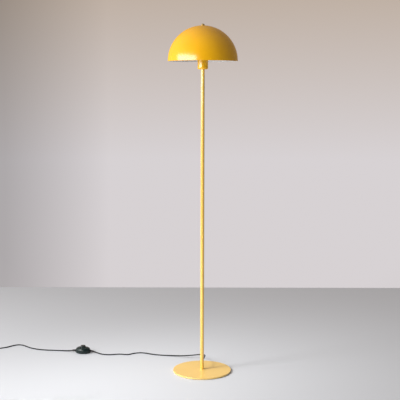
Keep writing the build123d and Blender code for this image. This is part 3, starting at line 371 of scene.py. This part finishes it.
side_of_ring = np.zeros(len(shade_outline), int)
side_of_ring[first_white:last_white] = 1
shade_piece.data.polygons.foreach_set("material_index", np.repeat(side_of_ring, shade_turns))
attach(shade_piece, "lamp")
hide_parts("shade")

# ---------------------------------------------------------------------------------------------
# Finial. A small brass knob, turned and lacquered: a foot, a neck and a ball. It is screwed down by
# hand on the stud and clamps the shade.
finial_low, finial_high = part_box("finial")
knob_foot_radius = 0.0084
knob_foot_height = 0.0014
knob_neck_radius = 0.0067
knob_neck_height = 0.0006
knob_ball_radius = 0.0077
knob_bore_depth = 0.0066
knob_foot_edge = 0.0004
knob_bore_edge = 0.0003
knob_neck_edge = 0.0002
knob_ball_edge = 0.0001
turning_mark_spacing = 0.00015


def metal(name, dark, light, roughness, marks=0.0):
    """Bare or plated metal with faint stains and uneven polish, and turning marks round Z.

    The marks are noise over (distance from the Z axis, height), so each is a fine ring.
    """
    material, tree, shader, place = surface_nodes(name)
    shader.inputs["Metallic"].default_value = 1.0
    stains = grain(tree, place, scale=220, detail=3)
    tone(tree, shader, spread(tree, stains, 0, 1), dark, light)
    polish = grain(tree, place, scale=500, detail=2)
    gloss = spread(tree, polish, roughness - 0.06, roughness + 0.08)
    tree.links.new(gloss, shader.inputs["Roughness"])
    if marks:
        parts = tree.nodes.new("ShaderNodeSeparateXYZ")
        tree.links.new(place, parts.inputs["Vector"])
        flat = tree.nodes.new("ShaderNodeCombineXYZ")
        tree.links.new(parts.outputs["X"], flat.inputs["X"])
        tree.links.new(parts.outputs["Y"], flat.inputs["Y"])
        reach = tree.nodes.new("ShaderNodeVectorMath")
        reach.operation = "LENGTH"
        tree.links.new(flat.outputs["Vector"], reach.inputs[0])
        section = tree.nodes.new("ShaderNodeCombineXYZ")
        tree.links.new(reach.outputs["Value"], section.inputs["X"])
        tree.links.new(parts.outputs["Z"], section.inputs["Z"])
        rings = grain(tree, section.outputs["Vector"], scale=1 / turning_mark_spacing, detail=2)
        relief(tree, shader, rings, marks)
    return material


def rounded(corners, steps):
    """The outline through corners (r, z, q), each turned by an arc of radius q.

    With u and v the ways to the two neighbours and h half the angle between them, the arc runs
    from P + u q / tan h to P + v q / tan h about P + (u + v) q / (|u + v| sin h).
    """
    outline = []
    count = len(corners)
    for i, (r, z, q) in enumerate(corners):
        corner = np.array([r, z])
        u = np.array(corners[i - 1][:2]) - corner
        v = np.array(corners[(i + 1) % count][:2]) - corner
        if q == 0:
            outline.append(corner)
            continue
        u, v = u / np.linalg.norm(u), v / np.linalg.norm(v)
        half = acos(np.dot(u, v)) / 2
        centre = corner + (u + v) / np.linalg.norm(u + v) * q / sin(half)
        first = corner + u * q / tan(half) - centre
        last = corner + v * q / tan(half) - centre
        turn = pi - 2 * half
        for share in np.linspace(0, 1, steps + 1):
            reach = sin((1 - share) * turn) * first + sin(share * turn) * last
            outline.append(centre + reach / sin(turn))
    return outline


brass = metal("brass", dark=(0.50, 0.35, 0.13), light=(0.64, 0.47, 0.20), roughness=0.26, marks=0.000004)
knob_base = finial_low.z
knob_ball_level = finial_high.z - knob_ball_radius
knob_neck_level = knob_base + knob_foot_height
knob_neck_top = knob_neck_level + knob_neck_height
knob_ball_start = np.degrees(asin((knob_neck_top - knob_ball_level) / knob_ball_radius))
knob_ball = arc(0, knob_ball_level, knob_ball_radius, start=knob_ball_start, end=90, steps=24)
knob_outline = [
    (stud_hole_radius, knob_base, knob_bore_edge),
    (knob_foot_radius, knob_base, knob_foot_edge),
    (knob_foot_radius, knob_neck_level, knob_foot_edge),
    (knob_neck_radius, knob_neck_level, knob_neck_edge),
    (knob_neck_radius, knob_neck_top, knob_ball_edge),
    *((r, z, 0) for r, z in knob_ball),
    (0, knob_base + knob_bore_depth, 0),
    (stud_hole_radius, knob_base + knob_bore_depth, 0),
]
finial_piece = lathe("finial_knob", rounded(knob_outline, steps=5), turns=96)
finial_piece.data.materials.append(brass)
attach(finial_piece, "finial")
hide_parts("finial")

# ---------------------------------------------------------------------------------------------
# Bracket. One steel strip bent round the bulb, powder-coated white like the inside of the shade,
# with a zinc-plated stud riveted in its top and a plain washer under the shade's crown.


def dress(node, material):
    """Gives a CAD node this material in every slot."""
    for place in nodes[node].material_slots:
        place.material = material


white_coat = powder_coat(
    "white_coat",
    dark=(0.78, 0.77, 0.74),
    light=(0.85, 0.84, 0.82),
    roughness=0.45,
    gloss_coat=0.1,
)
dress("shade_bracket", white_coat)
zinc = metal("zinc", dark=(0.50, 0.51, 0.52), light=(0.66, 0.66, 0.64), roughness=0.32)
dress("bracket_stud", zinc)
dress("crown_washer", zinc)

# ---------------------------------------------------------------------------------------------
# Bulb. A pear-shaped opal glass on a screw cap of thin rolled metal, whose coarse round thread
# climbs once in 3.6 mm, with a black glass insulator and a solder tip below.
cap_low, cap_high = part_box("bulb_cap")
cap_radius = cap_high.x
cap_tip_radius = 0.0045
cap_tip_height = 0.001
cap_insulator_radius = 0.0108
cap_insulator_height = 0.004
thread_pitch = 0.0036
thread_depth = 0.0009
thread_start = 0.0062
thread_end = 0.0205
cap_turns = 144
cap_levels = 120


def screw_shell():
    """Rings of the threaded shell from its lower rim up to the glass.

    At the angle a and height z the radius is R - d/2 (1 - w cos(2 pi z / pitch - a)), where w
    fades in and out over the first and last half pitch, so the thread runs out in plain rims.
    """
    a = np.arange(cap_turns) * 2 * pi / cap_turns
    z = np.linspace(cap_insulator_height, cap_high.z - cap_low.z, cap_levels)[:, None]
    fade_in = np.clip((z - thread_start) / thread_pitch * 2, 0, 1)
    fade_out = np.clip((thread_end - z) / thread_pitch * 2, 0, 1)
    wave = fade_in * fade_out * np.cos(2 * pi * z / thread_pitch - a[None, :])
    r = cap_radius - thread_depth / 2 * (1 - wave)
    return np.stack([r * np.cos(a), r * np.sin(a), cap_low.z + np.repeat(z, cap_turns, axis=1)], axis=-1)


def level_ring(r, z):
    """One ring of the cap's points at radius r and height z."""
    a = np.arange(cap_turns) * 2 * pi / cap_turns
    return np.column_stack([r * np.cos(a), r * np.sin(a), np.full(cap_turns, z)])[None]


cap_metal = metal("cap_metal", dark=(0.66, 0.65, 0.61), light=(0.80, 0.79, 0.75), roughness=0.28)
insulator_glass = moulded(
    "insulator_glass",
    dark=(0.010, 0.009, 0.012),
    light=(0.020, 0.018, 0.024),
    roughness=0.15,
    grain_size=0.002,
    depth=0.00001,
)
cap_rings = np.concatenate([
    level_ring(0, cap_low.z),
    level_ring(cap_tip_radius, cap_low.z),
    level_ring(cap_tip_radius, cap_low.z + cap_tip_height),
    level_ring(cap_insulator_radius, cap_low.z + cap_insulator_height),
    screw_shell(),
    level_ring(0, cap_high.z),
])
bulb_cap_piece = skin("bulb_screw_cap", cap_rings, closed=False)
bulb_cap_piece.data.materials.append(cap_metal)
bulb_cap_piece.data.materials.append(insulator_glass)
cap_faces = bulb_cap_piece.data.polygons
cap_face_level = np.array([face.center.z for face in cap_faces]) - cap_low.z
insulated = (cap_face_level > cap_tip_height) & (cap_face_level < cap_insulator_height - 1e-5)
cap_faces.foreach_set("material_index", insulated.astype(int))
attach(bulb_cap_piece, "lamp")
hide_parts("bulb_cap")

opal = moulded(
    "opal",
    dark=(0.88, 0.87, 0.85),
    light=(0.93, 0.92, 0.90),
    roughness=0.22,
    grain_size=0.004,
    depth=0.000006,
)
dress("bulb_glass", opal)

# ---------------------------------------------------------------------------------------------
# Lampholder. Moulded in black phenolic, a hard resin with a slight sheen: a lower cap, a threaded
# skirt and a notched ring. Inside it are a white ceramic block and brass contacts.
phenolic = moulded(
    "phenolic",
    dark=(0.012, 0.011, 0.011),
    light=(0.022, 0.020, 0.020),
    roughness=0.30,
    grain_size=0.0008,
    depth=0.00001,
)
for holder_node in ("holder_cap", "holder_skirt", "shade_ring"):
    dress(holder_node, phenolic)

ceramic = moulded(
    "ceramic",
    dark=(0.78, 0.77, 0.73),
    light=(0.86, 0.85, 0.82),
    roughness=0.42,
    grain_size=0.0009,
    depth=0.00002,
)
dress("contact_block", ceramic)
for contact_node in ("centre_contact", "side_contacts", "switch_terminals"):
    dress(contact_node, brass)

# ---------------------------------------------------------------------------------------------
# Cup, pole and base. The cup is drawn from sheet in the shade's coat. The pole, two lengths of
# welded steel tube that meet at a fine chamfered seam, and the heavy turned base plate wear the same
# yellow coat, smoother, in copies painted paler: painted glare of the bright room on the tube and on
# the plate's top. Zinc-plated fittings join them, and a foam pad lies underneath.
dress("holder_cup", yellow_coat)
# A paler copy of the yellow coat: its lighter tone is painted glare of the bright room on the tube.
pole_coat_painted_glare = powder_coat(
    "pole_coat_painted_glare",
    dark=(0.86, 0.53, 0.075),
    light=(0.90, 0.57, 0.095),
    roughness=0.36,
    gloss_coat=0.65,
    sheen_level=0.3,
    depth=0.0000015,
)
for pole_node in ("pole_lower", "pole_upper"):
    dress(pole_node, pole_coat_painted_glare)
# A paler copy of the yellow coat: its lighter, less saturated tone is painted glare of the bright room
# on the plate's top.
stand_coat_painted_glare = powder_coat(
    "stand_coat_painted_glare",
    dark=(0.86, 0.575, 0.155),
    light=(0.90, 0.615, 0.178),
    roughness=0.38,
    gloss_coat=0.45,
    sheen_level=0.4,
    depth=0.000004,
)
dress("base_plate", stand_coat_painted_glare)
for fitting_node in (
    "cup_washer",
    "top_nipple",
    "top_collar",
    "upper_collar",
    "joint_nipple",
    "lower_collar",
    "foot_insert",
    "base_screw",
):
    dress(fitting_node, zinc)

foam = moulded(
    "foam",
    dark=(0.018, 0.018, 0.018),
    light=(0.040, 0.040, 0.040),
    roughness=0.92,
    grain_size=0.0006,
    depth=0.0002,
)
dress("base_pad", foam)

# ---------------------------------------------------------------------------------------------
# Bushing and sleeves. Soft black rubber, snapped into the pole and the foot switch; their tapered
# tails have ring grooves, so that they bend evenly with the cord.
rubber = moulded(
    "rubber",
    dark=(0.008, 0.008, 0.009),
    light=(0.018, 0.018, 0.019),
    roughness=0.60,
    grain_size=0.0009,
    depth=0.00005,
    sheen_level=0.3,
)
tail_bore = 0.00255
tail_tip_radius = 0.0036
groove_depth = 0.0006
stations_in_groove = 10
tail_turns = 48
straight_enough = 1e-6


def guard(name, root, outward, tip, tip_way, parts, grooves):
    """A rubber guard: round parts at its root and a grooved tail that bends from root to tip.

    The tail's axis is the quadratic curve (1 - s)^2 root + 2 s (1 - s) K + s^2 tip, whose middle
    point K lies on both end tangents. Its radius falls evenly from the root's to the tip's, less
    a groove g sin^2(pi n s) at each of its n rings. The bore runs through with the cord.
    """
    side = np.cross(outward, (0, 0, 1))
    across = np.cross(outward, tip_way)
    if np.linalg.norm(across) < straight_enough:
        middle = (root + tip) / 2
    else:
        reach = np.dot(np.cross(tip - root, tip_way), across) / np.dot(across, across)
        middle = root + outward * reach
    tail_root_radius = parts[-1][1]
    stations = [(root + outward * along, outward, radius) for along, radius in parts]
    for s in np.linspace(0, 1, grooves * stations_in_groove + 1)[1:]:
        place = (1 - s) ** 2 * root + 2 * s * (1 - s) * middle + s**2 * tip
        way = (1 - s) * (middle - root) + s * (tip - middle)
        taper = tail_root_radius + (tail_tip_radius - tail_root_radius) * s
        groove = groove_depth * sin(pi * grooves * s) ** 2
        stations.append((place, way / np.linalg.norm(way), taper - groove))
    stations.append((tip, tip_way, tail_bore))
    stations.append((root, outward, tail_bore))
    stations.append((root + outward * parts[0][0], outward, tail_bore))
    angle = np.arange(tail_turns) * 2 * pi / tail_turns
    rings = []
    for place, way, radius in stations:
        level = np.cross(side, way)
        level /= np.linalg.norm(level)
        flat = np.cross(way, level)
        rings.append(place + radius * (np.outer(np.cos(angle), flat) + np.outer(np.sin(angle), level)))
    piece = skin(name, np.array(rings), closed=True)
    piece.data.materials.append(rubber)
    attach(piece, "lamp")
    return piece


# Each part's profile is pairs of a distance along the cord from the tail's root and a radius: the
# neck in the wall's hole, the flange with its two rounded edges, and the root of the tail.
bushing_parts = [
    (-0.00375, 0.0045),
    (-0.0020, 0.0045),
    (-0.0020, 0.0057),
    (-0.0017, 0.0060),
    (-0.0003, 0.0060),
    (0.0, 0.0057),
    (0.0, 0.0050),
]
bushing_reach = 0.01005
exit_place = lamp_side_route[0]
exit_way = lamp_side_route[1] - exit_place
exit_way = exit_way / np.linalg.norm(exit_way)
bushing_root = np.array([0, 0, exit_place[2]]) + exit_way * bushing_reach
bushing = guard("bushing_guard", bushing_root, exit_way, exit_place, exit_way, bushing_parts, grooves=7)
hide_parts("cord_bushing")

switch_centre = np.array([-0.556, 0.268, 0.010])
switch_turn = radians(-8.0)
switch_half_length = 0.035
sleeve_collar = 0.002
sleeve_gap = 0.00005
sleeve_parts = [
    (-0.0020, 0.0042),
    (-0.0020, 0.0052),
    (-0.0017, 0.0055),
    (-0.0003, 0.0055),
    (0.0, 0.0052),
    (0.0, 0.0050),
]
for sleeve_node, along, tip, beyond in (
    ("sleeve_lamp_side", 1, lamp_side_route[-1], lamp_side_route[-2]),
    ("sleeve_plug_side", -1, plug_side_route[0], plug_side_route[1]),
):
    long_way = along * np.array([cos(switch_turn), sin(switch_turn), 0])
    sleeve_root = switch_centre + long_way * (switch_half_length + sleeve_collar + sleeve_gap)
    tip_way = (beyond - tip) / np.linalg.norm(beyond - tip)
    sleeve = guard(sleeve_node + "_guard", sleeve_root, long_way, tip, tip_way, sleeve_parts, grooves=4)
    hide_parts(sleeve_node)

dress("inner_lead", cord_sheath)
dress("switch_tails", cord_sheath)

# ---------------------------------------------------------------------------------------------
# Foot switch. Two moulded shells in black plastic, closed by screws from below over a fine groove,
# with a round button that has a shallow recess and stands on a coil spring of steel wire. Inside
# are a ceramic contact block and cord clamps, and underneath are rubber feet.
shell_plastic = moulded(
    "shell_plastic",
    dark=(0.004, 0.012, 0.012),
    light=(0.008, 0.020, 0.020),
    roughness=0.25,
    grain_size=0.0006,
    depth=0.00001,
    sheen_level=0.38,
)
button_plastic = moulded(
    "button_plastic",
    dark=(0.003, 0.009, 0.009),
    light=(0.008, 0.015, 0.015),
    roughness=0.20,
    grain_size=0.0012,
    depth=0.00001,
    sheen_level=0.4,
)
for switch_node, switch_material in (
    ("switch_base", shell_plastic),
    ("switch_cover", shell_plastic),
    ("cord_clamps", shell_plastic),
    ("switch_button", button_plastic),
    ("switch_feet", rubber),
    ("switch_block", ceramic),
    ("switch_screws", zinc),
    ("clamp_screws", zinc),
):
    dress(switch_node, switch_material)

spring_low, spring_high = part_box("button_spring")
spring_wire_radius = 0.0005
spring_radius = 0.0055
spring_coils = 5
spring_steps = 40
wire_sides = 14


def wound_wire():
    """Rings of a round wire wound into a helix, from its lower end to its upper, closed by points.

    At the angle a the wire's middle is (R cos a, R sin a, z), with z rising evenly. Its ring is
    spanned by the outward direction n and by t x n, where t is the way the wire runs.
    """
    a = np.linspace(0, 2 * pi * spring_coils, spring_coils * spring_steps + 1)
    foot = spring_low.z + spring_wire_radius
    height = spring_high.z - spring_wire_radius - foot
    middle = np.column_stack([
        (spring_low.x + spring_high.x) / 2 + spring_radius * np.cos(a),
        (spring_low.y + spring_high.y) / 2 + spring_radius * np.sin(a),
        foot + height * a / a[-1],
    ])
    out = np.column_stack([np.cos(a), np.sin(a), np.zeros_like(a)])
    rise = np.full_like(a, height / a[-1])
    way = np.column_stack([-spring_radius * np.sin(a), spring_radius * np.cos(a), rise])
    across = np.cross(way / np.linalg.norm(way, axis=1)[:, None], out)
    b = np.arange(wire_sides) * 2 * pi / wire_sides
    ring = np.cos(b)[None, :, None] * out[:, None] + np.sin(b)[None, :, None] * across[:, None]
    rings = middle[:, None] + spring_wire_radius * ring
    ends = np.repeat(middle[[0, -1], None], wire_sides, axis=1)
    return np.concatenate([ends[:1], rings, ends[1:]])


return_spring = skin("return_spring", wound_wire(), closed=False)
return_spring.data.materials.append(zinc)
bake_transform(return_spring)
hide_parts("button_spring")

# ---------------------------------------------------------------------------------------------
# Plug. Moulded on the cord in one piece of black PVC, flat, with grip grooves and a tapered relief,
# and two round nickel-plated pins with insulated roots.
plug_pvc = moulded(
    "plug_pvc",
    dark=(0.012, 0.012, 0.013),
    light=(0.024, 0.024, 0.026),
    roughness=0.42,
    grain_size=0.0010,
    depth=0.00004,
)
dress("plug_body", plug_pvc)
nickel = metal("nickel", dark=(0.66, 0.63, 0.58), light=(0.78, 0.75, 0.70), roughness=0.16)
dress("plug_pins", nickel)

# ---------------------------------------------------------------------------------------------
# Studio. A plain pale floor, which ends behind the lamp where a room's wall would stand, a broad
# low window to the left and a little in front, and a faint pool of light on the base. The
# surrounding is dim in front and brighter at the left, and behind the lamp as pale as a wall.
floor_reach = 12.0
floor_back = 1.65
floor_corners = [
    (-floor_reach, -floor_reach, 0),
    (floor_reach, -floor_reach, 0),
    (floor_reach, floor_back, 0),
    (-floor_reach, floor_back, 0),
]
floor_mesh = bpy.data.meshes.new("floor")
floor_mesh.from_pydata(floor_corners, [], [(0, 1, 2, 3)])
floor = bpy.data.objects.new("floor", floor_mesh)
bpy.context.scene.collection.objects.link(floor)
floor_paint = bpy.data.materials.new("floor_paint")
floor_paint.use_nodes = True
floor_shader = floor_paint.node_tree.nodes["Principled BSDF"]
floor_shader.inputs["Base Color"].default_value = (0.65, 0.685, 0.735, 1)
floor_shader.inputs["Roughness"].default_value = 0.55
floor_mesh.materials.append(floor_paint)

daylight = (1.0, 0.985, 0.96)


def soft_light(name, shape, size, power, place, aim):
    """An area light that stands at place and faces aim; size in metres, power in watts."""
    data = bpy.data.lights.new(name, "AREA")
    data.shape = shape
    data.size = size
    data.energy = power
    data.color = daylight
    light = bpy.data.objects.new(name, data)
    light.location = place
    light.rotation_euler = (Vector(aim) - Vector(place)).to_track_quat("-Z", "Y").to_euler()
    bpy.context.scene.collection.objects.link(light)
    return data


window_place = (-2.25, -1.6, 1.6)
window = soft_light("window", "RECTANGLE", size=3.6, power=116.0, place=window_place, aim=(0, 0, 0.4))
window.size_y = 1.1
pool_place = (-2.1, -1.0, 2.0)
pool = soft_light("pool", "DISK", size=0.7, power=1.8, place=pool_place, aim=(0, 0, 0))
pool.spread = radians(34)

# The surrounding's brightness and tone follow the direction of view, a unit vector: x runs to the
# right, y away from the camera and z up.
left_level = 1.30
right_level = 0.26
front_share = 0.14
wall_left_level = 0.42
wall_level = 0.68
room_tone = (0.72, 0.655, 0.62, 1)
low_wall_tone = (1.0, 0.945, 0.965, 1)
high_wall_tone = (0.76, 0.63, 0.53, 1)

world = bpy.data.worlds.new("studio")
world.use_nodes = True
bpy.context.scene.world = world
sky_tree = world.node_tree
sky_way = sky_tree.nodes.new("ShaderNodeTexCoord").outputs["Generated"]
sky_parts = sky_tree.nodes.new("ShaderNodeSeparateXYZ")
sky_tree.links.new(sky_way, sky_parts.inputs["Vector"])
to_right, to_back, upward = (sky_parts.outputs[axis] for axis in "XYZ")
behind = spread(sky_tree, to_back, 0.0, 1.0, start=0.80, end=0.96)

room_level = sky_tree.nodes.new("ShaderNodeMath")
room_level.operation = "MULTIPLY"
side_level = spread(sky_tree, to_right, left_level, right_level, start=-1.0, end=1.0)
sky_tree.links.new(side_level, room_level.inputs[0])
share_of_level = spread(sky_tree, to_back, front_share, 1.0, start=-1.0, end=0.2)
sky_tree.links.new(share_of_level, room_level.inputs[1])
sky_level = sky_tree.nodes.new("ShaderNodeMix")
sky_tree.links.new(behind, sky_level.inputs["Factor"])
sky_tree.links.new(room_level.outputs["Value"], sky_level.inputs["A"])
wall_side_level = spread(sky_tree, to_right, wall_left_level, wall_level, start=-0.21, end=-0.10)
sky_tree.links.new(wall_side_level, sky_level.inputs["B"])

wall_tone = sky_tree.nodes.new("ShaderNodeMix")
wall_tone.data_type = "RGBA"
wall_tone.inputs["A"].default_value = low_wall_tone
wall_tone.inputs["B"].default_value = high_wall_tone
wall_height = spread(sky_tree, upward, 0.0, 1.0, start=-0.08, end=0.10)
sky_tree.links.new(wall_height, wall_tone.inputs["Factor"])
sky_tone = sky_tree.nodes.new("ShaderNodeMix")
sky_tone.data_type = "RGBA"
sky_tone.inputs["A"].default_value = room_tone
sky_tree.links.new(wall_tone.outputs["Result"], sky_tone.inputs["B"])
sky_tree.links.new(behind, sky_tone.inputs["Factor"])

sky = sky_tree.nodes["Background"]
sky_tree.links.new(sky_tone.outputs["Result"], sky.inputs["Color"])
sky_tree.links.new(sky_level.outputs["Result"], sky.inputs["Strength"])
bpy.context.scene.view_settings.view_transform = "Standard"
